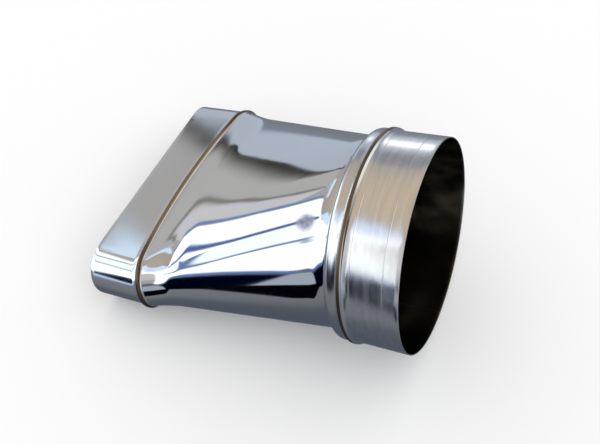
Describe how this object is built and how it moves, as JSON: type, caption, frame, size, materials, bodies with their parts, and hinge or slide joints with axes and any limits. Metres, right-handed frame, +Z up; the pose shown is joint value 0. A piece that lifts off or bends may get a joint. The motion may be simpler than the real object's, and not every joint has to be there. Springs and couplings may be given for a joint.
{
  "type": "flat-to-round duct adapter",
  "caption": "Sheet-metal adapter from a flat oval duct to a round duct, with a polished tapering body between two collars and raised weld seams.",
  "frame": {"origin": "centre of the bottom of the part's box, on the table it lies on", "axes": "+Z up as the part lies at rest, +X towards the round mouth, +Y across the broad faces"},
  "size_m": [0.2482, 0.1956, 0.1577],
  "materials": {
    "steel": "polished sheet, the round collar satin"
  },
  "bodies": {
    "root": {"adapter": "steel"}
  },
  "joints": []
}
